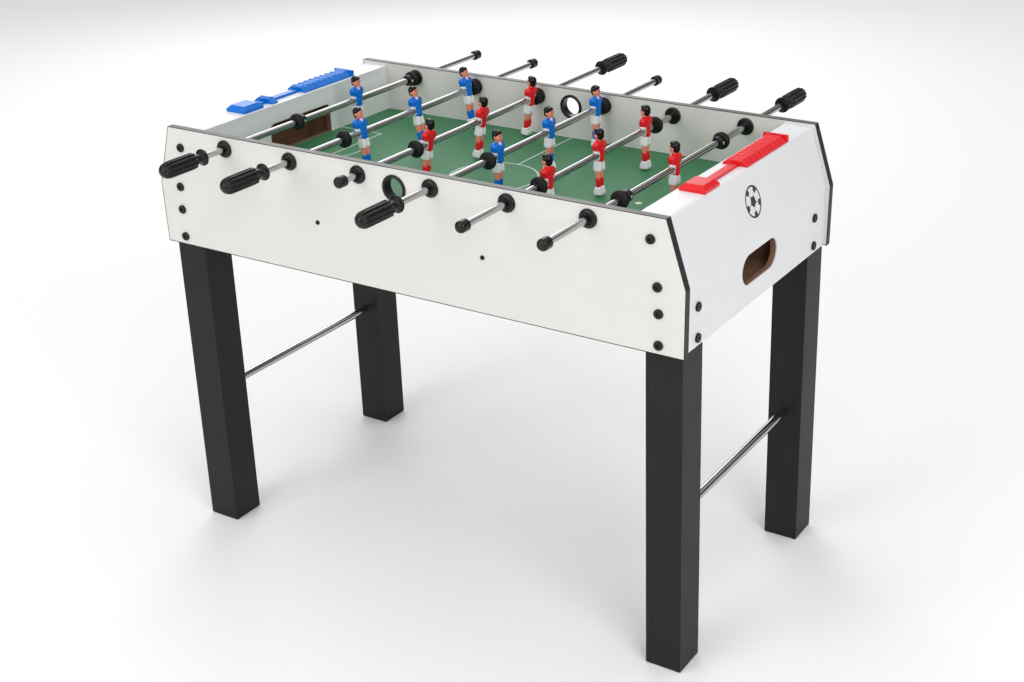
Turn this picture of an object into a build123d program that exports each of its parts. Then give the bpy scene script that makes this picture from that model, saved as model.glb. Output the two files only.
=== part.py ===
from build123d import *
import os

# A six-rod foosball table: a laminated board cabinet on four square legs, six steel rods
# that slide and spin in bushings, fourteen moulded players and two sliding score counters.
# Millimetres, +Z up, X along the table, Y across it, floor at Z = 0.

# ---------------------------------------------------------------- driving dimensions
# cabinet outline (the two long side panels are six-sided)
panel_bulge_length = 1090.0
panel_top_length = 1022.0
panel_bottom_length = 1086.0
panel_top_z = 818.0
panel_bulge_z = 707.0
panel_bottom_z = 592.0
cabinet_width = 573.0
panel_thickness = 13.0
trim_thickness = 1.5

# end panels, goal walls and playfield
board_thickness = 12.0
end_top_z = 811.0
end_ridge_x = 504.0
end_face_x = 535.0
end_fold_z = 705.0
goal_wall_x = 451.0
goal_width = 174.0
goal_height = 57.0
playfield_z = 719.0
hand_hole_length = 136.0
hand_hole_height = 54.0
hand_hole_z = 655.0
ball_box_width = 210.0
ball_box_floor_z = 612.0
box_wall = 8.0
batten_size = (20.0, 30.0)

# legs
leg_size = 66.0
leg_outer_x = 534.0
leg_top_z = 690.0
foot_height = 5.0
stretcher_radius = 8.0
stretcher_z = 274.0
stretcher_depth = 18.0

# rods, bushings and what the rods carry
rod_pitch = 150.0
rod_z = 795.0
rod_radius = 6.0
rod_wall = 1.5
running_gap = 0.05
bushing_radius = 16.0
bushing_sleeve_radius = 10.0
bushing_flange = 6.0
nut_thickness = 5.5
bumper_radius = 16.0
bumper_length = 11.0
collar_radius = 10.5
collar_length = 12.0
collar_reach = 165.0
player_pitch = 166.0
player_half_width = 14.0
shoulder_half_width = 17.5
foot_reach = 72.0
head_reach = 48.0
handle_length = 98.0
handle_radius = 15.0
cap_end = 418.0
cap_length = 20.0
cap_radius = 10.0

# ball entry rings
entry_radius = 18.5
entry_ring_radius = 24.0
entry_z = 782.0

# score counters
counter_x = 480.0
counter_width = 46.0
counter_start_y = -145.0
counter_end_y = 175.0
marker_pitch = 16.0
marker_gap = 0.3
marker_height = 12.0
rail_width = 14.0
rail_height = 5.0
blue_marker_gap = 24.0

# name, player count, side of the handle (-1 front, +1 back), resting slide, distances
# from the players or collars to the middles of the front and back bumpers, distance from
# the middle of the rod to its handle, and how far the feet swing forwards at rest in degrees
RODS = [
    ("rod_1", 1, -1, 82.0, 11.5, 11.5, 423.0, 0.0),
    ("rod_2", 3, -1, 76.0, 50.0, 19.5, 428.0, 9.0),
    ("rod_3", 3, 1, 76.0, 36.0, 19.5, 440.0, 9.0),
    ("rod_4", 3, -1, 76.0, 31.0, 19.5, 450.0, 0.0),
    ("rod_5", 3, 1, 0.0, 27.0, 36.0, 440.0, 0.0),
    ("rod_6", 1, 1, -4.0, 20.5, 11.5, 437.0, 0.0),
]

# ---------------------------------------------------------------- derived sizes
half_width = cabinet_width / 2
inner_y = half_width - panel_thickness
leg_inner_y = inner_y - leg_size
leg_inner_x = leg_outer_x - leg_size
leg_middle_x = leg_outer_x - leg_size / 2
rod_xs = [rod_pitch * (i - 2.5) for i in range(6)]
body_half_width = player_half_width - 0.3

# The handles stand out further at the back than at the front, so the cabinet is moved
# across to put the origin under the middle of the whole table.
front_tip = min(rod[3] - rod[6] - handle_length for rod in RODS if rod[2] < 0)
back_tip = max(rod[3] + rod[6] + handle_length for rod in RODS if rod[2] > 0)
centre_shift = -(front_tip + back_tip) / 2

os.makedirs("parts", exist_ok=True)


def save(node, solids):
    """Move the solids into the table's frame and write them as one node."""
    parts = solids if isinstance(solids, list) else [solids]
    moved = [Pos(0, centre_shift, 0) * p for p in parts]
    whole = moved[0] if len(moved) == 1 else Compound(children=moved)
    export_step(whole, f"parts/{node}.step")


def block(x0, x1, y0, y1, z0, z1):
    """A box between two corners, given in any order."""
    centre = Pos((x0 + x1) / 2, (y0 + y1) / 2, (z0 + z1) / 2)
    return centre * Box(abs(x1 - x0), abs(y1 - y0), abs(z1 - z0))


def bar_y(radius, x, z, y0, y1):
    """A round bar along Y."""
    return Pos(x, (y0 + y1) / 2, z) * Rot(90, 0, 0) * Cylinder(radius, abs(y1 - y0))


def bar_x(radius, y, z, x0, x1):
    """A round bar along X."""
    return Pos((x0 + x1) / 2, y, z) * Rot(0, 90, 0) * Cylinder(radius, abs(x1 - x0))


def plate(outline, y0, y1):
    """An outline in the XZ plane, given thickness from y0 to y1."""
    face = outline_face(outline, y0)
    return extrude(face, amount=y1 - y0, dir=(0, 1, 0))


def outline_face(outline, y):
    """A flat face in the XZ plane at the given Y."""
    return make_face(Polyline([(x, y, z) for x, z in outline], close=True))


def common(a, b):
    """The solid that two solids share."""
    return (a & b).solid()


def turned(profile):
    """A profile of (radius, Y) points spun about the Y axis."""
    face = make_face(Polyline([(r, y, 0) for r, y in profile], close=True))
    return revolve(face, Axis.Y, 360)


# ---------------------------------------------------------------- cabinet boards
side_outline = [
    (-panel_bottom_length / 2, panel_bottom_z),
    (-panel_bulge_length / 2, panel_bulge_z),
    (-panel_top_length / 2, panel_top_z),
    (panel_top_length / 2, panel_top_z),
    (panel_bulge_length / 2, panel_bulge_z),
    (panel_bottom_length / 2, panel_bottom_z),
]

# side panel bolts: the upper pair holds a corner cleat, the lower pair holds a leg
side_bolts = [(484.0, 781.0), (496.0, 705.0), (498.0, 661.0), (498.0, 608.0)]
end_bolts = [(228.0, 659.0), (228.0, 606.0)]
batten_screws = [(-173.0, 692.0), (173.0, 692.0)]
bolt_radius = 3.0
bolt_head_radius = 8.0
bolt_head_height = 4.0
bolt_length = 43.0
screw_radius = 2.0
screw_head_radius = 4.0
screw_length = 28.0


def bolt(head_radius, head_height, radius, length, socket):
    """A bolt along -Y: the head's underside is at Y = 0 and the head stands towards -Y."""
    head = Rot(90, 0, 0) * Pos(0, 0, head_height / 2) * Cylinder(head_radius, head_height)
    head = fillet(head.edges().group_by(Axis.Y)[0], head_height * 0.4)
    shank = bar_y(radius, 0, 0, 0, length)
    key = extrude(Plane.XZ * RegularPolygon(socket, 6), amount=head_height)
    return head + shank - Pos(0, -head_height * 0.4, 0) * key


def side_bolt_places():
    """Every bolt in the two side panels: x, z and the side (-1 front, +1 back)."""
    return [(sx * x, z, side) for side in (-1, 1) for sx in (-1, 1) for x, z in side_bolts]


def end_bolt_places():
    """Every bolt in the two end panels: y, z and the end (-1 left, +1 right)."""
    return [(sy * y, z, end) for end in (-1, 1) for sy in (-1, 1) for y, z in end_bolts]


def bolt_holes():
    """All the drilled bolt and screw holes, as solid bars to take away."""
    holes = []
    for x, z, side in side_bolt_places():
        holes.append(bar_y(bolt_radius, x, z, side * half_width, side * (half_width - bolt_length)))
    for y, z, end in end_bolt_places():
        holes.append(bar_x(bolt_radius, y, z, end * end_face_x, end * (end_face_x - bolt_length)))
    for x, z in batten_screws:
        for side in (-1, 1):
            deep = side * (half_width - screw_length)
            holes.append(bar_y(screw_radius, x, z, side * half_width, deep))
    return holes


drilled = bolt_holes()


def side_panel(side):
    """A six-sided board with bores for the rods and the ball entry ring."""
    y0, y1 = sorted((side * inner_y, side * half_width))
    core = offset(outline_face(side_outline, y0), -trim_thickness, kind=Kind.INTERSECTION)
    board = extrude(core, amount=y1 - y0, dir=(0, 1, 0))
    bores = [bar_y(bushing_sleeve_radius, x, rod_z, y0, y1) for x in rod_xs]
    bores.append(bar_y(entry_radius + 3, 0, entry_z, y0, y1))
    return board - bores - drilled


def edge_trim(side):
    """The plastic edging that closes a side panel all the way round."""
    y0, y1 = sorted((side * inner_y, side * half_width))
    outer = outline_face(side_outline, y0)
    inner = offset(outline_face(side_outline, y0), -trim_thickness, kind=Kind.INTERSECTION)
    return extrude(outer - inner, amount=y1 - y0, dir=(0, 1, 0))


save("front_side_panel", side_panel(-1))
save("back_side_panel", side_panel(1))
save("panel_edge_trims", [edge_trim(-1), edge_trim(1)])

# outline of an end of the cabinet, drawn past its open sides so that it can be hollowed
end_reach = 60.0
end_outline = [
    (goal_wall_x - end_reach, end_top_z),
    (end_ridge_x, end_top_z),
    (end_face_x, end_fold_z),
    (end_face_x, panel_bottom_z - end_reach),
    (goal_wall_x - end_reach, panel_bottom_z - end_reach),
]
fold_radius = 7.0


def end_inside():
    """The space behind the right end panel, as a solid."""
    face = offset(outline_face(end_outline, -inner_y), -board_thickness, kind=Kind.INTERSECTION)
    return extrude(face, amount=2 * inner_y, dir=(0, 1, 0))


def right_end_panel():
    """A board folded over the end: flat top, sloping shoulder and upright face."""
    shell = plate(end_outline, -inner_y, inner_y)
    folds = shell.edges().filter_by(Axis.Y).sort_by(Axis.X)[-3:]
    folds = [e for e in folds if e.center().Z > panel_bottom_z]
    shell = fillet(folds, fold_radius) - end_inside()
    end_space = block(goal_wall_x, end_face_x, -inner_y, inner_y, panel_bottom_z, end_top_z)
    shell = common(shell, end_space)
    hole_plane = Plane(origin=(end_face_x, 0, hand_hole_z), x_dir=(0, 1, 0), z_dir=(1, 0, 0))
    slot = hole_plane * SlotOverall(hand_hole_length, hand_hole_height)
    return shell - extrude(slot, amount=-2 * board_thickness) - drilled


def right_goal_wall():
    """The upright board between the playfield and the end, with the goal mouth in it."""
    x0, x1 = goal_wall_x, goal_wall_x + board_thickness
    wall = block(x0, x1, -inner_y, inner_y, panel_bottom_z, end_top_z - board_thickness)
    half = goal_width / 2
    mouth = block(x0, x1, -half, half, playfield_z, playfield_z + goal_height)
    mouth = fillet(mouth.edges().filter_by(Axis.X).group_by(Axis.Z)[-1], 12)
    return wall - mouth


def right_ball_box():
    """The trough that catches the ball behind the goal and offers it at the hand hole."""
    x0, x1 = goal_wall_x + board_thickness, end_face_x
    half = ball_box_width / 2
    top = end_top_z
    outer = block(x0, x1, -half, half, ball_box_floor_z, top)
    space = block(x0, x1, -half + box_wall, half - box_wall, ball_box_floor_z + box_wall, top)
    return common(outer - space, end_inside())


mirror_x = Rot(0, 0, 180)
for name, piece in [
    ("end_panel", right_end_panel()),
    ("goal_wall", right_goal_wall()),
    ("ball_box", right_ball_box()),
]:
    save(f"right_{name}", piece)
    save(f"left_{name}", mirror_x * piece)

playfield_thickness = 12.0
field_bottom = playfield_z - playfield_thickness
save("playfield", block(-goal_wall_x, goal_wall_x, -inner_y, inner_y, field_bottom, playfield_z))

battens = []
for side in (-1, 1):
    y0, y1 = side * inner_y, side * (inner_y - batten_size[0])
    strip = block(-goal_wall_x, goal_wall_x, y0, y1, field_bottom - batten_size[1], field_bottom)
    battens.append(strip - drilled)
save("playfield_battens", battens)

cleat_size = (32.0, 32.0)
cleats = []
for sx in (-1, 1):
    for sy in (-1, 1):
        x0 = sx * (goal_wall_x + board_thickness)
        y0 = sy * inner_y
        post = block(x0, sx * 512, y0, y0 - sy * cleat_size[1], leg_top_z, end_top_z)
        post = common(post, end_inside() if sx > 0 else mirror_x * end_inside())
        cleats.append(post - drilled)
save("corner_cleats", cleats)


# ---------------------------------------------------------------- legs
def leg(sx, sy):
    """A square leg whose top is cut back to stand behind the end panel."""
    y0, y1 = sy * leg_inner_y, sy * inner_y
    column = block(sx * leg_inner_x, sx * leg_outer_x, y0, y1, foot_height, panel_bottom_z)
    tongue_x = end_face_x - board_thickness
    tongue = block(sx * leg_inner_x, sx * tongue_x, y0, y1, panel_bottom_z, leg_top_z)
    socket = bar_y(stretcher_radius, sx * leg_middle_x, stretcher_z, y0, y0 + sy * stretcher_depth)
    return column + tongue - socket - drilled


leg_corners = {
    "front_left": (-1, -1),
    "front_right": (1, -1),
    "back_left": (-1, 1),
    "back_right": (1, 1),
}
feet = []
for corner, (sx, sy) in leg_corners.items():
    save(f"{corner}_leg", leg(sx, sy))
    pad = block(sx * leg_inner_x, sx * leg_outer_x, sy * leg_inner_y, sy * inner_y, 0, foot_height)
    feet.append(chamfer(pad.edges().group_by(Axis.Z)[0], 1.5))
save("leg_feet", feet)

stretcher_end = leg_inner_y + stretcher_depth
stretchers = []
for sx in (-1, 1):
    x = sx * leg_middle_x
    stretchers.append(bar_y(stretcher_radius, x, stretcher_z, -stretcher_end, stretcher_end))
save("leg_stretchers", stretchers)

# ---------------------------------------------------------------- fasteners
panel_bolt = bolt(bolt_head_radius, bolt_head_height, bolt_radius, bolt_length, 3.0)
panel_screw = bolt(screw_head_radius, 2.0, screw_radius, screw_length, 1.5)
fasteners = []
for x, z, side in side_bolt_places():
    turn = Rot(0, 0, 0 if side < 0 else 180)
    fasteners.append(Pos(x, side * half_width, z) * turn * panel_bolt)
for y, z, end in end_bolt_places():
    fasteners.append(Pos(end * end_face_x, y, z) * Rot(0, 0, end * 90) * panel_bolt)
for x, z in batten_screws:
    for side in (-1, 1):
        turn = Rot(0, 0, 0 if side < 0 else 180)
        fasteners.append(Pos(x, side * half_width, z) * turn * panel_screw)
save("panel_bolts", fasteners)

# ---------------------------------------------------------------- bushings and ball rings
bore = rod_radius + running_gap
flange_lip = 2.0
bushing = turned([
    (bore, -half_width - bushing_flange),
    (bushing_radius - flange_lip, -half_width - bushing_flange),
    (bushing_radius, -half_width - bushing_flange + flange_lip),
    (bushing_radius, -half_width),
    (bushing_sleeve_radius, -half_width),
    (bushing_sleeve_radius, -inner_y + nut_thickness),
    (bore, -inner_y + nut_thickness),
])
nut = turned([
    (bushing_sleeve_radius, -inner_y),
    (bushing_radius, -inner_y),
    (bushing_radius, -inner_y + nut_thickness - flange_lip),
    (bushing_radius - flange_lip, -inner_y + nut_thickness),
    (bushing_sleeve_radius, -inner_y + nut_thickness),
])
ring_lip = 3.0
entry_ring = turned([
    (entry_radius, -half_width - ring_lip),
    (entry_ring_radius - 1, -half_width - ring_lip),
    (entry_ring_radius, -half_width - ring_lip + 1),
    (entry_ring_radius, -half_width),
    (entry_radius + 3, -half_width),
    (entry_radius + 3, -inner_y),
    (entry_ring_radius, -inner_y),
    (entry_ring_radius, -inner_y + ring_lip - 1),
    (entry_ring_radius - 1, -inner_y + ring_lip),
    (entry_radius, -inner_y + ring_lip),
])


def both_sides(piece, xs, z):
    """Copies of a front-side piece at each x, and the same again at the back."""
    copies = []
    for side in (-1, 1):
        turn = Rot(0, 0, 0 if side < 0 else 180)
        copies += [Pos(x, 0, z) * turn * piece for x in xs]
    return copies


save("rod_bushings", both_sides(bushing, rod_xs, rod_z))
save("bushing_nuts", both_sides(nut, rod_xs, rod_z))
save("ball_entry_rings", both_sides(entry_ring, [0], entry_z))


# ---------------------------------------------------------------- rods
def player():
    """A moulded player facing +X, with the rod's axis as its Y axis."""
    body = block(-8, 8, -11, 11, -12, 28)
    shoulders = block(-6, 6, -shoulder_half_width, shoulder_half_width, bumper_radius + 1, 25)
    sleeves = block(-6, 6, -body_half_width, body_half_width, 2, 20)
    body = fillet(body.edges().filter_by(Axis.Z), 5)
    shoulders = fillet(shoulders.edges().filter_by(Axis.Z), 4)
    hub = bar_y(9, 0, 0, -player_half_width, player_half_width)
    head = Pos(0, 0, head_reach - 11) * Sphere(11)
    shorts = block(-8, 8, -11, 11, -26, 0)
    legs = block(-6, 6, -9, 9, -56, -24)
    foot = plate([(-7, -54), (7, -54), (9, -foot_reach), (-9, -foot_reach)], -10, 10)
    whole = body + shoulders + sleeves + hub + head + shorts + legs + foot
    return whole - bar_y(rod_radius, 0, 0, -20, 20)


def bumper():
    """A thick rubber ring that softens the end of the rod's travel."""
    h, r = bumper_length / 2, bumper_radius
    return turned([(bore, -h), (r - 3, -h), (r, -h + 3), (r, h - 3), (r - 3, h), (bore, h)])


def handle():
    """A grip along +Y: a guard disc, a short neck and a round-ended handle."""
    length = handle_length
    grip = turned([
        (0, 4),
        (rod_radius, 4),
        (rod_radius, 0),
        (handle_radius - 1, 0),
        (handle_radius - 1, 3),
        (10, 5),
        (10, 14),
        (handle_radius, 20),
        (handle_radius, length - 10),
        (handle_radius - 4, length - 3),
        (6, length),
        (0, length),
    ])
    return grip - bar_y(rod_radius, 0, 0, 0, handle_socket)


def end_cap():
    """A rounded plastic cap along +Y, pushed over the plain end of the rod."""
    cap = bar_y(cap_radius, 0, 0, 0, cap_length)
    cap = fillet(cap.edges().group_by(Axis.Y)[-1], 6)
    cap = chamfer(cap.edges().group_by(Axis.Y)[0], 1)
    return cap - bar_y(rod_radius, 0, 0, 0, cap_length - 4)


def collar():
    """A stop ring clamped to the rod by a small screw."""
    ring = bar_y(collar_radius, 0, 0, -collar_length / 2, collar_length / 2)
    ring = fillet(ring.edges(), 1.5) - bar_y(rod_radius, 0, 0, -collar_length, collar_length)
    screw = Pos(0, 0, collar_radius - 1) * Cylinder(3, 4)
    return ring + screw


handle_socket = 60.0
cap_inner = cap_end - 4
blue_player = player()
red_player = mirror_x * blue_player

for (name, count, side, slide, front, back, handle_start, lean), x in zip(RODS, rod_xs):
    axis = Pos(x, slide, rod_z)
    outwards = Rot(0, 0, 0 if side > 0 else 180)
    inwards = Rot(0, 0, 180 if side > 0 else 0)
    tube_y = sorted((side * (handle_start + handle_socket), -side * cap_inner))
    tube = bar_y(rod_radius, 0, 0, *tube_y) - bar_y(rod_radius - rod_wall, 0, 0, *tube_y)
    figure = Rot(0, side * lean, 0) * (blue_player if side < 0 else red_player)
    places = [0] if count == 1 else [-player_pitch, 0, player_pitch]
    save(f"{name}_tube", axis * tube)
    save(f"{name}_players", [axis * Pos(0, y, 0) * figure for y in places])
    save(f"{name}_handle", axis * outwards * Pos(0, handle_start, 0) * handle())
    save(f"{name}_end_cap", axis * inwards * Pos(0, cap_end - cap_length, 0) * end_cap())
    if count == 1:
        stops = (-collar_reach, collar_reach)
        bumper_ys = (-collar_reach - front, collar_reach + back)
        save(f"{name}_collars", [axis * Pos(0, y, 0) * collar() for y in stops])
    else:
        bumper_ys = (-player_pitch - front, player_pitch + back)
    save(f"{name}_bumpers", [axis * Pos(0, y, 0) * bumper() for y in bumper_ys])

# ---------------------------------------------------------------- score counters
block_length = 52.0
stop_length = 6.0
wide = counter_width / 2


def score_rail(side):
    """A moulded rail with a bevelled block at its front end and a stop at its back end."""
    x = side * counter_x
    z0 = end_top_z
    top = z0 + marker_height
    start = block(x - wide, x + wide, counter_start_y, counter_start_y + block_length, z0, top)
    start = chamfer(start.edges().group_by(Axis.Z)[-1], 7)
    stop = block(x - wide, x + wide, counter_end_y - stop_length, counter_end_y, z0, top)
    strip = block(
        x - rail_width / 2, x + rail_width / 2,
        counter_start_y + 10, counter_end_y, z0, z0 + rail_height,
    )
    return start + stop + strip


def marker(x, y):
    """One counter: a small bridge over the rail with a sloping top, y is its middle."""
    length = marker_pitch - marker_gap
    z0 = end_top_z + marker_gap
    top = end_top_z + marker_height
    bridge = block(x - wide, x + wide, y - length / 2, y + length / 2, z0, top)
    bridge = chamfer(bridge.edges().filter_by(Axis.Y).group_by(Axis.Z)[-1], 5)
    groove = rail_width / 2 + marker_gap
    return bridge - block(
        x - groove, x + groove, y - length, y + length, z0, end_top_z + rail_height + marker_gap,
    )


block_end = counter_start_y + block_length
stack_end = counter_end_y - stop_length
for team, side in (("blue", -1), ("red", 1)):
    x = side * counter_x
    middles = [stack_end - marker_pitch * (k + 0.5) for k in range(10)]
    if team == "blue":
        middles[-1] = block_end + blue_marker_gap + marker_pitch / 2
    save(f"{team}_score_rail", score_rail(side))
    save(f"{team}_marker_stack", [marker(x, y) for y in middles[:-1]])
    save(f"{team}_first_marker", marker(x, middles[-1]))
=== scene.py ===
import bmesh
import bpy
import numpy as np
from mathutils import Matrix, Vector


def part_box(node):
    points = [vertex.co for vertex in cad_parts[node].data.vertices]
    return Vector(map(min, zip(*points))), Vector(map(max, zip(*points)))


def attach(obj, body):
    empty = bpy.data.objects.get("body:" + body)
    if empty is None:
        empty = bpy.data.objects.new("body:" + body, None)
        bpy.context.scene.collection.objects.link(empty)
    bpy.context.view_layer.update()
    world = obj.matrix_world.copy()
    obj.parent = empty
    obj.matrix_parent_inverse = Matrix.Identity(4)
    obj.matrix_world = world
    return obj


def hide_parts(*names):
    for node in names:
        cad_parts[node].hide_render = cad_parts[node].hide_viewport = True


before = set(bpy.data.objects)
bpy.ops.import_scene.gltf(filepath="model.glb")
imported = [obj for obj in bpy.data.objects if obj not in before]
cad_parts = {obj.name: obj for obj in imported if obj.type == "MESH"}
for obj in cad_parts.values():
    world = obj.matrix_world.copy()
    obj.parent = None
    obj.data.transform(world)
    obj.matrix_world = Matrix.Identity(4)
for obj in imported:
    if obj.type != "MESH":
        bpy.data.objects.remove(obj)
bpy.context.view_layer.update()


# ---------------------------------------------------------------- side panels
# Two six-sided boards of pressed fibre faced with white melamine paper. The paper has a fine
# pearl grain and a satin shine; the boards are bored for the rods before assembly.

class Signal:
    """One output of a shader node. Python arithmetic on it adds Math nodes."""

    def __init__(self, graph, socket):
        self.graph = graph
        self.socket = socket

    def _math(self, operation, *terms):
        return self.graph.node("ShaderNodeMath", terms, operation=operation)

    def __add__(self, other):
        return self._math("ADD", self, other)

    def __sub__(self, other):
        return self._math("SUBTRACT", self, other)

    def __rsub__(self, other):
        return self._math("SUBTRACT", other, self)

    def __mul__(self, other):
        return self._math("MULTIPLY", self, other)

    def __pow__(self, other):
        return self._math("POWER", self, other)

    def __abs__(self):
        return self._math("ABSOLUTE", self)

    def __lt__(self, other):
        return self._math("LESS_THAN", self, other)

    def __gt__(self, other):
        return self._math("GREATER_THAN", self, other)

    def __or__(self, other):
        return self._math("MAXIMUM", self, other)

    __radd__ = __add__
    __rmul__ = __mul__


class Graph:
    """A shader node tree, to which nodes and links are added."""

    def __init__(self, tree):
        self.tree = tree

    def node(self, kind, inputs=(), outlet=0, **settings):
        """Adds one node: its settings first, then its input sockets, by position or name."""
        made = self.tree.nodes.new(kind)
        for key, value in settings.items():
            setattr(made, key, value)
        named = inputs.items() if isinstance(inputs, dict) else enumerate(inputs)
        for key, value in named:
            self.join(value, made.inputs[key])
        return Signal(self, made.outputs[outlet])

    def join(self, value, socket):
        """Links a signal to a socket, or sets the socket to a number, colour or vector."""
        if isinstance(value, Signal):
            self.tree.links.new(value.socket, socket)
        elif isinstance(value, tuple) and socket.type == "RGBA":
            socket.default_value = (*value, 1)
        else:
            socket.default_value = value


class Finish(Graph):
    """A material whose patterns read the object's own coordinates, in metres."""

    def __init__(self, name, colour, roughness, **fixed):
        self.material = bpy.data.materials.new(name)
        self.material.use_nodes = True
        self.material.diffuse_color = (*colour, 1)
        super().__init__(self.material.node_tree)
        self.shader = self.tree.nodes["Principled BSDF"]
        self.paint("Base Color", colour)
        self.paint("Roughness", roughness)
        for socket, value in fixed.items():
            self.paint(socket.replace("_", " "), value)
        self.place = self.node("ShaderNodeTexCoord", outlet="Object")

    def axes(self):
        """The object's X, Y and Z coordinates as three signals."""
        parts = self.node("ShaderNodeSeparateXYZ", [self.place]).socket.node
        return [Signal(self, s) for s in parts.outputs]

    def noise(self, scale, detail=3.0, stretch=(1, 1, 1)):
        """Cloudy noise from 0 to 1, with so many features in a metre along each axis."""
        where = self.node("ShaderNodeMapping", {"Vector": self.place, "Scale": stretch})
        sockets = {"Vector": where, "Scale": scale, "Detail": detail}
        return self.node("ShaderNodeTexNoise", sockets)

    def mix(self, mask, low, high):
        """A colour that is low where the mask is 0 and high where it is 1."""
        return self.node("ShaderNodeMix", {0: mask, 6: low, 7: high}, outlet=2, data_type="RGBA")

    def paint(self, socket, value):
        """Sets or links one socket of the shader."""
        self.join(value, self.shader.inputs[socket])

    def relief(self, height, depth):
        """Raises the surface by up to the given depth, in metres."""
        sockets = {"Strength": 1.0, "Distance": depth, "Height": height}
        self.paint("Normal", self.node("ShaderNodeBump", sockets))


def coat(finish, *names):
    """Gives CAD nodes a finish."""
    for name in names:
        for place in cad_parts[name].material_slots:
            place.material = finish.material


white = (0.80, 0.80, 0.79)
shaded_white_board = Finish("shaded_white_board", white, 0.4)
cloud = shaded_white_board.noise(9.0)
pearl = shaded_white_board.noise(900.0, detail=2.0)
# Painted shade: the side boards get a darker, warmer copy of the white facing than the ends, for
# faces that catch less light.
shaded_white_board.paint("Base Color", shaded_white_board.mix(cloud, (0.63, 0.62, 0.585), (0.68, 0.67, 0.64)))
shaded_white_board.paint("Roughness", 0.34 + 0.12 * pearl)
shaded_white_board.relief(pearl, 0.00003)
coat(shaded_white_board, "front_side_panel", "back_side_panel")


# ---------------------------------------------------------------- edge trims
# A band of black plastic edging is glued round each side panel, with faint scuff marks all over.
# Its upward top face is coloured grey as a painted highlight from the overhead light.
MM = 0.001
trim_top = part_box("front_side_panel")[1].z + 1.3 * MM

edging = Finish("edging", (0.02, 0.02, 0.02), 0.4, Specular_IOR_Level=0.25)
scuffs = edging.noise(60.0, detail=5.0, stretch=(0.3, 1, 1))
lit_top_mask = edging.axes()[2] > trim_top
plain_black = edging.mix(scuffs, (0.008, 0.008, 0.009), (0.022, 0.022, 0.023))
# Painted highlight: the grey on the top face of the edging stands for the overhead light falling on
# it.
painted_top_sheen = edging.mix(scuffs, (0.10, 0.10, 0.10), (0.16, 0.16, 0.158))
edging.paint("Base Color", edging.mix(lit_top_mask, plain_black, painted_top_sheen))
edging.paint("Roughness", 0.3 + 0.25 * scuffs)
edging.relief(scuffs, 0.00004)
coat(edging, "panel_edge_trims")


# ---------------------------------------------------------------- raw fibreboard
# Battens, corner cleats and ball boxes are bare brown fibreboard: matted fibres, a little
# darker where the saw has burnished them.
dark_fibre = (0.13, 0.062, 0.036)
light_fibre = (0.27, 0.15, 0.088)


def fibre_colour(finish):
    """Brown fibre speckle over slow blotches."""
    speckle = finish.noise(1400.0, detail=4.0)
    blotch = finish.noise(22.0)
    return finish.mix(0.55 * speckle + 0.45 * blotch, dark_fibre, light_fibre), speckle


fibreboard = Finish("fibreboard", light_fibre, 0.8)
brown, fibres = fibre_colour(fibreboard)
fibreboard.paint("Base Color", brown)
fibreboard.relief(fibres, 0.00015)
coat(fibreboard, "playfield_battens", "corner_cleats", "left_ball_box", "right_ball_box")


# ---------------------------------------------------------------- end panels and goal walls
# The end of the cabinet is one faced board, grooved and folded over the goal. Its outer
# side is white; the back of it, and the sawn edge of the hand hole, are bare brown board.
panel_low, panel_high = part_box("right_end_panel")
back_low, back_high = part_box("back_side_panel")
mid_y = (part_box("front_side_panel")[0].y + back_high.y) / 2
ridge = (504.0 * MM, panel_high.z)
fold = (panel_high.x, 705.0 * MM)
slope_length = np.hypot(fold[0] - ridge[0], ridge[1] - fold[1])
slope_out = ((ridge[1] - fold[1]) / slope_length, (fold[0] - ridge[0]) / slope_length)
facing_depth = 2.2 * MM
bare_roughness = 0.78
facing_gloss = 0.38

faced_end = Finish("faced_end", white, 0.4)
x, y, z = faced_end.axes()
out = abs(x)
across = y - mid_y
above_slope = (out - ridge[0]) * slope_out[0] + (z - ridge[1]) * slope_out[1]
skin_mask = (above_slope > -facing_depth) | (out > panel_high.x - facing_depth)
skin_mask = skin_mask | (z > panel_high.z - facing_depth) | (out < panel_low.x + 0.3 * MM)
brown = fibre_colour(faced_end)[0]
cloud = faced_end.noise(9.0)
clean = faced_end.mix(cloud, (0.73, 0.735, 0.75), (0.77, 0.775, 0.79))

# A plain football roundel is printed on the middle of the right slope: a ring, a patch with
# five points, five seams and the tips of five outer patches.
badge_radius = 26 * MM
badge_line_half = 1.6 * MM
patch_radius = 9 * MM
patch_pull = 0.09
seam_start = 8 * MM
seam_end = 18 * MM
outer_patch_start = 17.5 * MM
fold_margin = 2 * MM
badge_down = (ridge[1] - z) * (slope_length / (ridge[1] - fold[1])) - 0.5 * slope_length
badge_reach = (across * across + badge_down * badge_down) ** 0.5
badge_angle = faced_end.node("ShaderNodeMath", [across, badge_down], operation="ARCTAN2")
seam_wave = faced_end.node("ShaderNodeMath", [badge_angle * 5], operation="COSINE")
rim = abs(badge_reach - badge_radius) < badge_line_half
patch = badge_reach * (1 - patch_pull * seam_wave) < patch_radius
seams = (seam_wave > 0.975) * (badge_reach < seam_end) * (badge_reach > seam_start)
outer_patches = (seam_wave > 0.35) * (badge_reach > outer_patch_start)
print_mask = rim | patch | seams | (outer_patches * (badge_reach < badge_radius))
print_mask = print_mask * (x > ridge[0] + fold_margin) * (z > fold[1] + fold_margin)
faced = faced_end.mix(skin_mask, brown, clean)
faced_end.paint("Base Color", faced_end.mix(print_mask, faced, (0.012, 0.012, 0.013)))
faced_end.paint("Roughness", bare_roughness - facing_gloss * skin_mask)
faced_end.relief(faced_end.noise(900.0, detail=2.0), 0.00003)
coat(faced_end, "left_end_panel", "right_end_panel")

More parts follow.
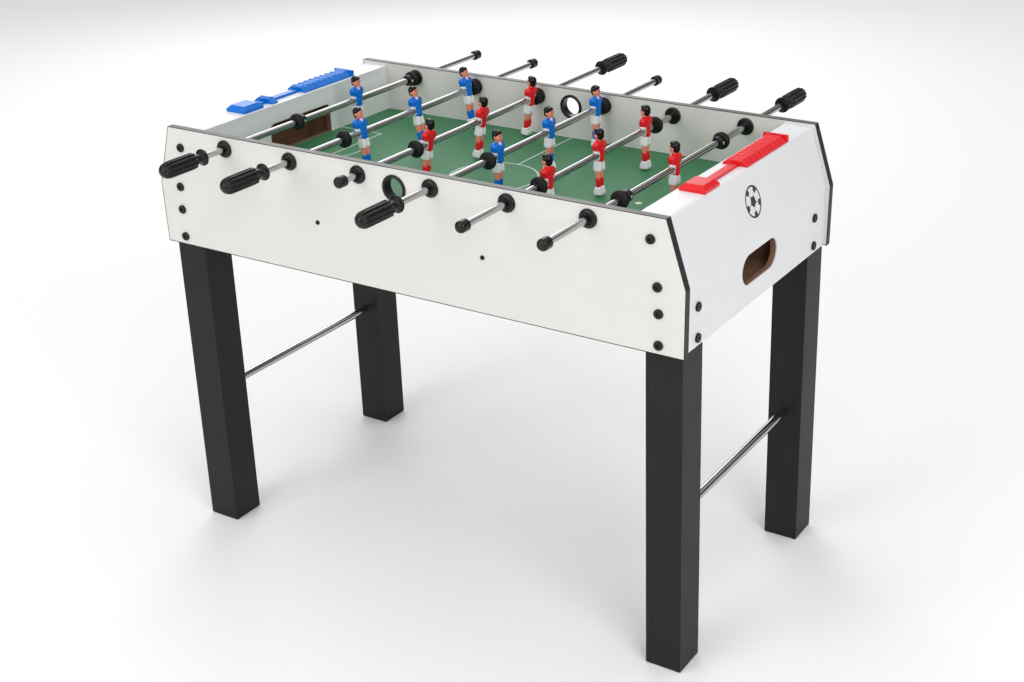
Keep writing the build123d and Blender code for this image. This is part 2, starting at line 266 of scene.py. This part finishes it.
goal_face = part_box("right_goal_wall")[0].x + 0.4 * MM
goal_board = Finish("goal_board", white, 0.4)
skin_mask = abs(goal_board.axes()[0]) < goal_face
brown, fibres = fibre_colour(goal_board)
goal_board.paint("Base Color", goal_board.mix(skin_mask, brown, (0.78, 0.785, 0.79)))
goal_board.paint("Roughness", bare_roughness - facing_gloss * skin_mask)
goal_board.relief(fibres * (1 - skin_mask), 0.0001)
coat(goal_board, "left_goal_wall", "right_goal_wall")


# ---------------------------------------------------------------- playfield
# A board printed green under clear lacquer, with a white halfway line, centre circle,
# penalty boxes and their arcs.
line_half = 1.4 * MM
circle_radius = 82 * MM
box_front = 350 * MM
box_half_width = 118 * MM
arc_centre = 385 * MM
arc_radius = 70 * MM
spot_x = 303 * MM
spot_radius = 6 * MM

pitch = Finish("pitch", (0.045, 0.19, 0.085), 0.5, Specular_IOR_Level=0.3)
x, y = pitch.axes()[:2]
out = abs(x)
across = abs(y - mid_y)


def ring_line(u, v, radius):
    """1 along a circle about u = v = 0, and 0 elsewhere."""
    reach = (u * u + v * v) ** 0.5
    return abs(reach - radius) < line_half


halfway = (out < line_half) * (across > circle_radius)
circle = ring_line(x, across, circle_radius)
arc = ring_line(out - arc_centre, across, arc_radius) * (out < box_front) * (x < 0)
spot = (((x - spot_x) * (x - spot_x) + across * across) ** 0.5) < spot_radius
box_line = (abs(out - box_front) < line_half) * (across < box_half_width + line_half)
box_side = (abs(across - box_half_width) < line_half) * (out > box_front - line_half)
lines = halfway | circle | arc | box_line | box_side | spot
grain = pitch.noise(700.0, detail=4.0)
patches = pitch.noise(7.0)
green = pitch.mix(0.6 * patches + 0.4 * grain, (0.034, 0.155, 0.066), (0.058, 0.225, 0.105))
pitch.paint("Base Color", pitch.mix(lines, green, (0.62, 0.68, 0.62)))
pitch.paint("Roughness", 0.48 + 0.15 * patches)
pitch.relief(grain + 2 * lines, 0.00004)
coat(pitch, "playfield")


# ---------------------------------------------------------------- legs, feet and stretchers
# Square legs wrapped in black foil with a pressed wood grain, closed by plastic pads. A
# chromed tube ties the two legs at each end.
leg_foil = Finish("leg_foil", (0.012, 0.011, 0.011), 0.42, Specular_IOR_Level=0.2)
grain = leg_foil.noise(160.0, detail=6.0, stretch=(1, 1, 0.05))
haze = leg_foil.noise(6.0)
leg_foil.paint("Base Color", leg_foil.mix(grain, (0.006, 0.0055, 0.0055), (0.018, 0.0165, 0.016)))
leg_foil.paint("Roughness", 0.33 + 0.16 * haze + 0.08 * grain)
leg_foil.relief(grain, 0.00012)
legs = [f"{depth}_{side}_leg" for depth in ("front", "back") for side in ("left", "right")]
coat(leg_foil, *legs)

black_plastic = Finish("black_plastic", (0.01, 0.01, 0.01), 0.3, Specular_IOR_Level=0.3)
specks = black_plastic.noise(800.0)
clouds = black_plastic.noise(40.0)
moulded_black = black_plastic.mix(clouds, (0.004, 0.004, 0.004), (0.010, 0.010, 0.011))
black_plastic.paint("Base Color", moulded_black)
black_plastic.paint("Roughness", 0.20 + 0.14 * clouds)
black_plastic.relief(specks, 0.00003)
coat(black_plastic, "leg_feet")

chrome = Finish("chrome", (0.5, 0.5, 0.5), 0.1, Metallic=1.0)
drawn = chrome.noise(500.0, detail=4.0, stretch=(1, 0.02, 1))
smears = chrome.noise(14.0)
chrome.paint("Base Color", chrome.mix(smears, (0.40, 0.405, 0.40), (0.52, 0.525, 0.52)))
chrome.paint("Roughness", 0.07 + 0.10 * drawn + 0.06 * smears)
chrome.relief(drawn, 0.00001)
coat(chrome, "leg_stretchers")


# ---------------------------------------------------------------- bolts and screws
# Blackened furniture bolts with low domed heads and hexagon sockets hold the panels to the
# legs and the ends; the blacking is worn in fine cloudy specks.
black_steel = Finish("black_steel", (0.02, 0.02, 0.021), 0.34, Metallic=0.4, Specular_IOR_Level=0.3)
wear = black_steel.noise(300.0, detail=4.0)
black_steel.paint("Base Color", black_steel.mix(wear, (0.006, 0.006, 0.006), (0.024, 0.024, 0.025)))
black_steel.paint("Roughness", 0.26 + 0.22 * wear)
coat(black_steel, "panel_bolts")


# ---------------------------------------------------------------- bushings and ball rings
# Each rod runs in a black moulded bushing with a rounded flange, held by a ring nut inside.
# The two larger rings line the holes through which the ball is dropped.

class Moulding:
    """A mesh gathered from closed shells, each with its own finish, in millimetres."""

    def __init__(self):
        self.points = []
        self.faces = []
        self.inks = []
        self.count = 0

    def shell(self, rings, ink=0, closed=False):
        """Joins an array of rings, shaped (rings, points, 3), into a tube of quads.

        A closed tube joins its last ring to its first; an open one gets flat ends.
        """
        steps, around = rings.shape[:2]
        grid = np.arange(steps * around).reshape(steps, around) + self.count
        ahead = np.roll(grid, -1, axis=1)
        lower, upper = (grid, np.roll(grid, -1, axis=0)) if closed else (grid[:-1], grid[1:])
        lower_ahead = ahead if closed else ahead[:-1]
        upper_ahead = np.roll(ahead, -1, axis=0) if closed else ahead[1:]
        quads = np.stack([lower, lower_ahead, upper_ahead, upper], axis=-1).reshape(-1, 4)
        faces = quads.tolist()
        if not closed:
            faces += [grid[0][::-1].tolist(), grid[-1].tolist()]
        self.points.append(rings.reshape(-1, 3))
        self.faces += faces
        self.inks += [ink] * len(faces)
        self.count += steps * around

    def build(self, name, finishes, smooth=True):
        """Makes the object in metres, with its faces turned outwards."""
        mesh = bpy.data.meshes.new(name)
        mesh.from_pydata((np.concatenate(self.points) * MM).tolist(), [], self.faces)
        for finish in finishes:
            mesh.materials.append(finish.material)
        mesh.polygons.foreach_set("material_index", self.inks)
        mesh.polygons.foreach_set("use_smooth", [smooth] * len(self.faces))
        shape = bmesh.new()
        shape.from_mesh(mesh)
        bmesh.ops.recalc_face_normals(shape, faces=shape.faces)
        shape.to_mesh(mesh)
        shape.free()
        made = bpy.data.objects.new(name, mesh)
        bpy.context.scene.collection.objects.link(made)
        return made


def rounded(corners, steps=5):
    """A closed profile with its corners rounded.

    Each corner is (across, along, radius); a quarter-like arc is drawn as a quadratic curve
    between the two points that lie one radius from the corner.
    """
    spots = np.array([c[:2] for c in corners], float)
    radii = np.array([c[2] for c in corners], float)[:, None]
    before = np.roll(spots, 1, axis=0) - spots
    after = np.roll(spots, -1, axis=0) - spots
    start = spots + before / np.linalg.norm(before, axis=1)[:, None] * radii
    end = spots + after / np.linalg.norm(after, axis=1)[:, None] * radii
    t = np.linspace(0, 1, steps)[None, :, None]
    curve = (1 - t) ** 2 * start[:, None] + 2 * t * (1 - t) * spots[:, None] + t ** 2 * end[:, None]
    return curve.reshape(-1, 2)


def turn(profile, x, y, z, side, around=48):
    """Spins a profile of (radius, distance from y) about the line along Y through x and z.

    Each profile point becomes a circle; side is 1 or -1 and points the distances along Y.
    """
    angle = np.linspace(0, 2 * np.pi, around, endpoint=False)
    radius, along = profile[:, [0]], profile[:, [1]]
    return np.stack([
        x + radius * np.cos(angle),
        y + side * along + 0 * angle,
        z + radius * np.sin(angle),
    ], axis=-1)


def fitted(piece, body, slot, *names):
    """A new piece that stands for CAD nodes and moves with their body."""
    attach(piece, body)
    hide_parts(*names)


rod_bodies = [f"rod_{i}" for i in range(1, 7)]
bore = 6.05
flange_radius = 16.0
sleeve_radius = 10.0
nut_depth = 5.5
outer_y = (back_high.y - mid_y) / MM
inner_y = (back_low.y - mid_y) / MM
centre_y = mid_y / MM

flange_profile = rounded([
    (bore, outer_y + 3, 0.5), (8.6, outer_y + 3.2, 0.6), (9.6, outer_y + 5.9, 1.2),
    (flange_radius, outer_y + 5.2, 4.2), (flange_radius, outer_y, 0.5),
    (sleeve_radius - 0.1, outer_y, 0.2), (sleeve_radius - 0.1, inner_y - nut_depth, 0.2),
    (bore, inner_y - nut_depth, 0.2),
])
nut_profile = rounded([
    (sleeve_radius, inner_y, 0.2), (flange_radius, inner_y, 0.5),
    (flange_radius, inner_y - nut_depth, 3.0), (sleeve_radius, inner_y - nut_depth, 0.3),
])
ring_radius = 24.0
ball_hole_radius = 18.5
hole_wall = ball_hole_radius + 2.9
lip = 3
ring_profile = rounded([
    (ball_hole_radius, outer_y + lip, 1.5), (ring_radius, outer_y + lip, 2.2),
    (ring_radius, outer_y, 0.3), (hole_wall, outer_y, 0.2),
    (hole_wall, inner_y, 0.2), (ring_radius, inner_y, 0.3),
    (ring_radius, inner_y - lip, 2.2), (ball_hole_radius, inner_y - lip, 1.5),
])

bushings, nuts, entry_rings = Moulding(), Moulding(), Moulding()
for side in (-1, 1):
    for body in rod_bodies:
        low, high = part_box(f"{body}_tube")
        axis = (low + high) / 2 / MM
        bushings.shell(turn(flange_profile, axis.x, centre_y, axis.z, side), closed=True)
        nuts.shell(turn(nut_profile, axis.x, centre_y, axis.z, side), closed=True)
    low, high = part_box("ball_entry_rings")
    axis = (low + high) / 2 / MM
    entry_rings.shell(turn(ring_profile, axis.x, centre_y, axis.z, side, around=72), closed=True)
for moulding, name, node in (
    (bushings, "moulded_bushings", "rod_bushings"),
    (nuts, "ring_nuts", "bushing_nuts"),
    (entry_rings, "ball_rings", "ball_entry_rings"),
):
    fitted(moulding.build(name, [black_plastic]), "cabinet", "black_plastic", node)


# ---------------------------------------------------------------- rods, stops and caps
# Six chromed steel tubes. The goalkeepers' rods carry clamped collars with a bright screw;
# every rod has two thick rubber bumpers and a rounded plastic cap on its plain end.
for body in rod_bodies:
    coat(chrome, f"{body}_tube")
    coat(black_plastic, f"{body}_end_cap")

rubber = Finish("rubber", (0.014, 0.014, 0.014), 0.55, Specular_IOR_Level=0.25)
bloom = rubber.noise(120.0, detail=5.0)
rubber.paint("Base Color", rubber.mix(bloom, (0.005, 0.005, 0.005), (0.018, 0.018, 0.0175)))
rubber.paint("Roughness", 0.46 + 0.2 * bloom)
rubber.relief(bloom, 0.00005)
bright_steel = Finish("bright_steel", (0.72, 0.72, 0.72), 0.22, Metallic=1.0)
bright_steel.paint("Roughness", 0.16 + 0.2 * bright_steel.noise(600.0))

bumper_half = 5.5
for body in rod_bodies:
    low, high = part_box(f"{body}_bumpers")
    low, high = low / MM, high / MM
    axis = (low + high) / 2
    radius = (high.x - low.x) / 2
    bumper_profile = rounded([
        (bore, -bumper_half, 0.6), (radius - 1.5, -bumper_half, 3.0), (radius, -1.5, 1.4),
        (radius - 1.0, 0, 0.5), (radius, 1.5, 1.4), (radius - 1.5, bumper_half, 3.0),
        (bore, bumper_half, 0.6),
    ])
    pair = Moulding()
    for y in (low.y + bumper_half, high.y - bumper_half):
        pair.shell(turn(bumper_profile, axis.x, y, axis.z, 1), closed=True)
    piece = pair.build(f"{body}_rubber_bumpers", [rubber])
    fitted(piece, f"{body}_bumper_set", "rubber", f"{body}_bumpers")

collar_half = 6.0
collar_bore = 6.0
screw_stand = 1.0
screw_profile = rounded([(0.8, 0, 0.1), (3.0, 0, 0.6), (3.0, 2.2, 0.2), (0.8, 1.2, 0.2)])


def screw_head(x, y, z):
    """The screw profile of (radius, depth) turned about a line along X, its top at x."""
    angle = np.linspace(0, 2 * np.pi, 20, endpoint=False)
    wide, deep = screw_profile[:, [0]], screw_profile[:, [1]]
    return np.stack([
        x - deep + 0 * angle,
        y + wide * np.cos(angle),
        z + wide * np.sin(angle),
    ], axis=-1)


for body in ("rod_1", "rod_6"):
    low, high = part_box(f"{body}_collars")
    low, high = low / MM, high / MM
    axis_x = (low.x + high.x) / 2
    radius = (high.x - low.x) / 2
    axis_z = low.z + radius
    collar_profile = rounded([
        (collar_bore, -collar_half, 0.3), (radius, -collar_half, 1.6),
        (radius, collar_half, 1.6), (collar_bore, collar_half, 0.3),
    ])
    stops = Moulding()
    for y in (low.y + collar_half, high.y - collar_half):
        stops.shell(turn(collar_profile, axis_x, y, axis_z, 1), closed=True)
        stops.shell(screw_head(axis_x + radius + screw_stand, y, axis_z), ink=1, closed=True)
    piece = stops.build(f"{body}_clamp_collars", [black_plastic, bright_steel])
    fitted(piece, body, "black_plastic", f"{body}_collars")


# ---------------------------------------------------------------- handles
# Black moulded grips with twelve long flutes, a domed nose, a short neck and a dished guard
# that keeps the hand off the cabinet.
flutes = 12
flute_depth = 3.2
grip_stations = np.array([
    # distance from the guard, radius, share of the flute depth
    (4.0, 6.2, 0), (2.6, 9.0, 0), (0.6, 13.2, 0), (0.0, 14.4, 0), (0.6, 15.0, 0),
    (1.8, 15.0, 0), (3.0, 13.6, 0), (5.0, 9.6, 0), (8.0, 8.0, 0), (14.0, 7.8, 0),
    (19.0, 8.4, 0), (20.5, 10.4, 0.4), (22.5, 14.0, 0.9), (25.0, 15.0, 1), (34.0, 15.0, 1),
    (44.0, 15.0, 1), (54.0, 15.0, 1), (64.0, 15.0, 1), (74.0, 15.0, 1), (80.0, 14.9, 0.95),
    (85.0, 14.3, 0.85), (89.5, 13.0, 0.6), (93.0, 11.0, 0.35), (95.8, 8.2, 0.1),
    (97.4, 5.0, 0), (97.9, 2.4, 0), (98.0, 0.6, 0),
])


def grip_rings(x, y, z, side):
    """Rings whose radius dips in a narrow groove at each flute."""
    angle = np.linspace(0, 2 * np.pi, flutes * 8, endpoint=False)
    groove = (0.5 + 0.5 * np.cos(flutes * angle)) ** 2
    along, radius, depth = (grip_stations[:, [k]] for k in range(3))
    reach = radius - flute_depth * depth * groove
    return np.stack([
        x + reach * np.cos(angle),
        y + side * along + 0 * angle,
        z + reach * np.sin(angle),
    ], axis=-1)


for body in rod_bodies:
    low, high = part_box(f"{body}_handle")
    low, high = low / MM, high / MM
    axis = (low + high) / 2
    side = 1 if axis.y > centre_y else -1
    start = low.y if side > 0 else high.y
    grip = Moulding()
    grip.shell(grip_rings(axis.x, start, axis.z, side))
    piece = grip.build(f"{body}_grip", [black_plastic])
    fitted(piece, body, "black_plastic", f"{body}_handle")


# ---------------------------------------------------------------- players
# Moulded plastic footballers, painted by hand: shirt, white cuffs and side, white shorts,
# team socks, white wedge boots, and a plain doll's face under black hair.

def plastic(name, dark, light, roughness=0.3):
    """Painted or self-coloured moulded plastic, a little uneven in shade and gloss."""
    finish = Finish(name, light, roughness, Specular_IOR_Level=0.3)
    blotch = finish.noise(140.0, detail=3.0)
    finish.paint("Base Color", finish.mix(blotch, dark, light))
    finish.paint("Roughness", roughness - 0.06 + 0.14 * blotch)
    finish.relief(finish.noise(1500.0), 0.00002)
    return finish


blue_plastic = plastic("blue_plastic", (0.0, 0.12, 0.52), (0.0, 0.185, 0.68))
red_plastic = plastic("red_plastic", (0.62, 0.006, 0.012), (0.80, 0.018, 0.026))
white_paint = plastic("white_paint", (0.72, 0.73, 0.76), (0.82, 0.83, 0.85))
skin_paint = plastic("skin_paint", (0.74, 0.22, 0.15), (0.84, 0.31, 0.22), 0.42)
hair_paint = plastic("hair_paint", (0.002, 0.002, 0.002), (0.006, 0.006, 0.006), 0.2)
lip_paint = plastic("lip_paint", (0.42, 0.08, 0.07), (0.50, 0.12, 0.10), 0.4)
SHIRT, WHITE, SKIN, HAIR, LIPS = range(5)


def oval_rings(stations, power=2.0, around=20):
    """Rings stacked upwards; each station is (z, x, y, half depth, half width).

    The outline is a superellipse: power 2 is round and a higher power is squarer.
    """
    s = np.array(stations, float)
    angle = np.linspace(0, 2 * np.pi, around, endpoint=False)
    c, n = np.cos(angle), np.sin(angle)
    c = np.sign(c) * abs(c) ** (2 / power)
    n = np.sign(n) * abs(n) ** (2 / power)
    z, x, y, deep, wide = (s[:, [k]] for k in range(5))
    return np.stack([x + deep * c, y + wide * n, z + 0 * c], axis=-1)


def ellipsoid(centre, radii, steps=9, around=18):
    """Rings from the lower to the upper pole, where tilt is the latitude.

    Each axis is the centre plus its radius times the sine and cosines of a unit ball; the
    rings stop a little short of the poles and end in small flats.
    """
    tilt = np.linspace(-0.5, 0.5, steps)[:, None] * np.pi * 0.97
    angle = np.linspace(0, 2 * np.pi, around, endpoint=False)
    return np.stack([
        centre[0] + radii[0] * np.cos(tilt) * np.cos(angle),
        centre[1] + radii[1] * np.cos(tilt) * np.sin(angle),
        centre[2] + radii[2] * np.sin(tilt) + 0 * angle,
    ], axis=-1)


def add_player(crew, place, facing, lean):
    """Adds one figure at a place on its rod, facing 1 or -1 along X.

    Its parts are drawn with x forwards and the rod's axis through the origin. The lean swings
    the feet forwards about the rod, in radians.
    """
    parts = [
        (oval_rings([
            (-11, 0, 0, 6.4, 7.6), (-10, 0, 0, 7.8, 9.4), (-2, 0, 0, 8.0, 10.6),
            (8, 0, 0, 8.0, 11.0), (16, 0, 0, 7.6, 11.0), (20, 0, 0, 6.6, 9.6),
        ], power=2.6), WHITE),
        (oval_rings([
            (-12.6, 0.2, 0, 7.2, 7.4), (-11.6, 0.2, 0, 8.8, 9.2), (-4, 0.3, 0, 9.0, 9.2),
            (6, 0.4, 0, 9.2, 9.8), (14, 0.3, 0, 9.0, 10.6), (19, 0, 0, 8.2, 12.2),
            (22.5, -0.4, 0, 7.2, 11.4), (25, -0.6, 0, 5.6, 7.4), (26, -0.6, 0, 4.6, 5.2),
        ], power=2.8), SHIRT),
        (oval_rings([
            (22, -0.4, 0, 3.8, 3.9), (26, -0.2, 0, 3.9, 4.0), (31, 0.2, 0, 4.6, 4.6),
        ]), SKIN),
        (ellipsoid((3.6, 0, 22.0), (4.9, 4.3, 5.0), 9, 14), WHITE),
        (ellipsoid((4.2, 0, 22.8), (4.9, 2.9, 4.4), 9, 14), SKIN),
    ]
    for hand in (-1, 1):
        parts += [
            (oval_rings([
                (3.0, -0.4, hand * 10.6, 3.4, 2.4), (3.8, -0.4, hand * 11.0, 5.0, 2.7),
                (8, -0.4, hand * 11.4, 5.8, 2.3), (13, -0.5, hand * 11.8, 6.2, 2.0),
            ], power=2.4), WHITE),
            (oval_rings([
                (7.6, -0.4, hand * 11.3, 4.6, 1.7), (8.4, -0.4, hand * 11.6, 6.4, 2.2),
                (13, -0.5, hand * 11.9, 6.8, 2.0), (16, -0.5, hand * 12.4, 6.6, 3.9),
                (19, -0.5, hand * 12.6, 6.2, 4.6), (22, -0.6, hand * 11.4, 5.4, 4.6),
                (24.4, -0.6, hand * 9.0, 4.0, 3.4), (25.2, -0.6, hand * 8.0, 2.8, 2.2),
            ], power=2.4), SHIRT),
            (oval_rings([
                (-28.6, 0, hand * 5.9, 6.4, 4.2), (-28, 0, hand * 5.9, 8.4, 5.6),
                (-22, 0, hand * 5.6, 8.2, 5.5), (-15, 0, hand * 5.0, 7.8, 5.2),
                (-10, 0, hand * 4.4, 7.4, 4.8), (-8, 0, hand * 4.4, 6.2, 4.0),
            ], power=2.3), WHITE),
            (oval_rings([
                (-45, 0, hand * 4.7, 3.8, 3.6), (-39, 0, hand * 4.8, 4.6, 4.2),
                (-33, 0.2, hand * 5.0, 5.4, 4.6), (-25, 0.2, hand * 5.1, 5.8, 4.8),
            ]), SKIN),
            (oval_rings([
                (-60, -0.2, hand * 4.6, 4.2, 4.0), (-55, -0.4, hand * 4.6, 4.6, 4.2),
                (-49, -0.9, hand * 4.7, 5.4, 4.5), (-44, -0.6, hand * 4.7, 5.2, 4.5),
                (-42.2, -0.4, hand * 4.7, 5.1, 4.6), (-41.2, -0.4, hand * 4.7, 4.2, 3.8),
            ]), SHIRT),
            (oval_rings([
                (-71.9, 0, hand * 5.1, 7.6, 4.4), (-71.4, 0, hand * 5.1, 8.9, 5.0),
                (-67, 0.2, hand * 5.1, 8.4, 5.0), (-62, 0, hand * 5.0, 7.0, 4.9),
                (-58.5, -0.4, hand * 4.9, 5.8, 4.7), (-57.4, -0.5, hand * 4.9, 4.6, 3.8),
            ], power=3.4), WHITE),
            (ellipsoid((0.2, hand * 8.2, 34.4), (2.0, 1.3, 2.8), 7, 10), SKIN),
            (ellipsoid((8.1, hand * 3.1, 36.0), (0.8, 1.3, 0.75), 7, 10), HAIR),
            (ellipsoid((8.0, hand * 3.1, 38.4), (0.8, 2.0, 0.5), 7, 10), HAIR),
        ]
    parts += [
        (ellipsoid((0.9, 0, 34.8), (8.1, 7.8, 9.9)), SKIN),
        (ellipsoid((3.2, 0, 29.2), (4.9, 4.5, 3.9)), SKIN),
        (ellipsoid((9.0, 0, 34.0), (1.4, 1.2, 2.1), 7, 10), SKIN),
        (ellipsoid((7.9, 0, 30.2), (0.9, 2.2, 0.6), 7, 10), LIPS),
        (ellipsoid((-1.2, 0, 39.0), (8.8, 8.9, 8.4)), HAIR),
        (ellipsoid((-3.0, 0, 33.8), (6.6, 7.8, 7.4)), HAIR),
        (ellipsoid((4.0, -1.4, 43.0), (5.4, 6.6, 3.6)), HAIR),
    ]
    for rings, ink in parts:
        forwards = rings[..., 0] * np.cos(lean) - rings[..., 2] * np.sin(lean)
        upwards = rings[..., 2] * np.cos(lean) + rings[..., 0] * np.sin(lean)
        turned = np.stack([facing * forwards, facing * rings[..., 1], upwards], axis=-1)
        crew.shell(turned + np.array(place), ink=ink)


shoulder_half = 17.5
blue_rods = ("rod_1", "rod_2", "rod_4")
leaning_rods = ("rod_2", "rod_3")
lean_angle = np.radians(9.0)
for body in rod_bodies:
    low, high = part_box(f"{body}_players")
    low, high = low / MM, high / MM
    tube_low, tube_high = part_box(f"{body}_tube")
    axis = (tube_low + tube_high) / 2 / MM
    team = "blue" if body in blue_rods else "red"
    facing = 1 if team == "blue" else -1
    shirt = blue_plastic if team == "blue" else red_plastic
    lean = lean_angle if body in leaning_rods else 0.0
    if high.y - low.y < 3 * shoulder_half:
        spots = [(low.y + high.y) / 2]
    else:
        spots = np.linspace(low.y + shoulder_half, high.y - shoulder_half, 3)
    crew = Moulding()
    for spot in spots:
        add_player(crew, (axis.x, spot, axis.z), facing, lean)
    piece = crew.build(f"{body}_figures", [shirt, white_paint, skin_paint, hair_paint, lip_paint])
    rounding = piece.modifiers.new("rounding", "SUBSURF")
    rounding.levels = 1
    rounding.render_levels = 1
    fitted(piece, body, f"{team}_plastic", f"{body}_players")


# ---------------------------------------------------------------- score counters
# A moulded rail is screwed along the top of each end, and ten plastic counters slide on it.
# Every counter is a small bridge with sloping ends and a ridge across its top.
counter_length = 15.7
counter_step = 16.0
counter_slope = 11.0
groove = 7.3
groove_top = 5.0


def counter_rings(x, y, z, half, height):
    """Sections of one counter along Y, each the outline of a bridge with sloping ends.

    The upper points are scaled by a rise that reaches 1, a ridge, in the middle.
    """
    along = np.array([-0.5, -0.46, -0.30, -0.12, 0.12, 0.30, 0.46, 0.5]) * counter_length
    rise = np.array([0.80, 0.86, 0.88, 1.0, 1.0, 0.88, 0.86, 0.80])
    outline = np.array([
        (-half, 0), (-groove, 0), (-groove, groove_top), (groove, groove_top), (groove, 0),
        (half, 0), (half, 0.2 * height), (half - counter_slope, height),
        (counter_slope - half, height), (-half, 0.2 * height),
    ])
    tall = np.where(outline[:, 1] > 0.6 * height, outline[:, 1] * rise[:, None], outline[:, 1])
    return np.stack([
        x + outline[:, 0] + 0 * tall,
        y + along[:, None] + 0 * tall,
        z + tall,
    ], axis=-1)


for team, finish in (("blue", blue_plastic), ("red", red_plastic)):
    coat(finish, f"{team}_score_rail")
    for part, count in (("marker_stack", 9), ("first_marker", 1)):
        low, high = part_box(f"{team}_{part}")
        low, high = low / MM, high / MM
        x = (low.x + high.x) / 2
        half = (high.x - low.x) / 2
        counters = Moulding()
        for k in range(count):
            y = low.y + counter_length / 2 + k * counter_step
            counters.shell(counter_rings(x, y, low.z, half, high.z - low.z))
        piece = counters.build(f"{team}_{part}_counters", [finish], smooth=False)
        soften = piece.modifiers.new("soften", "BEVEL")
        soften.width = 0.5 * MM
        soften.segments = 2
        soften.limit_method = "ANGLE"
        fitted(piece, f"{team}_{part}_slider", f"{team}_plastic", f"{team}_{part}")


# ---------------------------------------------------------------- studio
# A pale floor, a surround that is white overhead and dim near the horizon, so that the
# chrome has something dark to show, three large soft lights and the camera.
floor_size = 14.0
floor_mesh = bpy.data.meshes.new("floor")
corners = [(-1, -1), (1, -1), (1, 1), (-1, 1)]
floor_mesh.from_pydata([(x * floor_size, y * floor_size, 0) for x, y in corners], [], [(0, 1, 2, 3)])
floor = bpy.data.objects.new("floor", floor_mesh)
floor_finish = Finish("floor_finish", (0.86, 0.86, 0.86), 0.8)
floor_mesh.materials.append(floor_finish.material)
bpy.context.scene.collection.objects.link(floor)

surround = bpy.data.worlds.new("surround")
surround.use_nodes = True
sky = Graph(surround.node_tree)
direction = sky.node("ShaderNodeTexCoord", outlet="Generated")
climb = sky.node("ShaderNodeSeparateXYZ", [direction], outlet="Z")
dim_to_white = {"From Min": 0.3, "From Max": 0.85, "To Min": 0.10, "To Max": 1.0}
shade = sky.node(
    "ShaderNodeMapRange", {"Value": climb, **dim_to_white}, interpolation_type="SMOOTHSTEP"
)
background = sky.tree.nodes["Background"]
sky.join(shade, background.inputs["Color"])
sky.join(1.15, background.inputs["Strength"])
bpy.context.scene.world = surround
bpy.context.scene.view_settings.view_transform = "Standard"

table_middle = Vector((0, mid_y, 0.6))


def soft_light(name, place, width, power):
    """A square area light aimed at the middle of the table."""
    lamp = bpy.data.lights.new(name, "AREA")
    lamp.size = width
    lamp.energy = power
    stand = bpy.data.objects.new(name, lamp)
    stand.location = place
    stand.rotation_euler = (table_middle - Vector(place)).to_track_quat("-Z", "Y").to_euler()
    bpy.context.scene.collection.objects.link(stand)


soft_light("key_light", (3.4, -2.4, 2.6), 2.4, 85)
soft_light("fill_light", (-1.2, -4.0, 2.0), 2.6, 68)
soft_light("back_light", (-2.6, 3.2, 2.6), 2.6, 60)

# The camera stands to the front right, a little above the table.
camera_place = Vector((1.5034, -2.1449 + mid_y, 1.5854))
camera_turn = np.radians(30.918)
camera_tilt = np.radians(22.418)
camera_roll = np.radians(-0.802)
forward = Vector((
    -np.sin(camera_turn) * np.cos(camera_tilt),
    np.cos(camera_turn) * np.cos(camera_tilt),
    -np.sin(camera_tilt),
))
level = Vector((np.cos(camera_turn), np.sin(camera_turn), 0))
upright = level.cross(forward)
right = level * np.cos(camera_roll) + upright * np.sin(camera_roll)
up = upright * np.cos(camera_roll) - level * np.sin(camera_roll)
lens = bpy.data.cameras.new("camera")
lens.lens = 53.0
lens.sensor_width = 36.0
lens.shift_x = -0.0838
lens.shift_y = -0.0572
lens.clip_end = 60.0
camera = bpy.data.objects.new("camera", lens)
axes = Matrix((right, up, -forward)).transposed()
camera.matrix_world = Matrix.Translation(camera_place) @ axes.to_4x4()
bpy.context.scene.collection.objects.link(camera)
bpy.context.scene.camera = camera
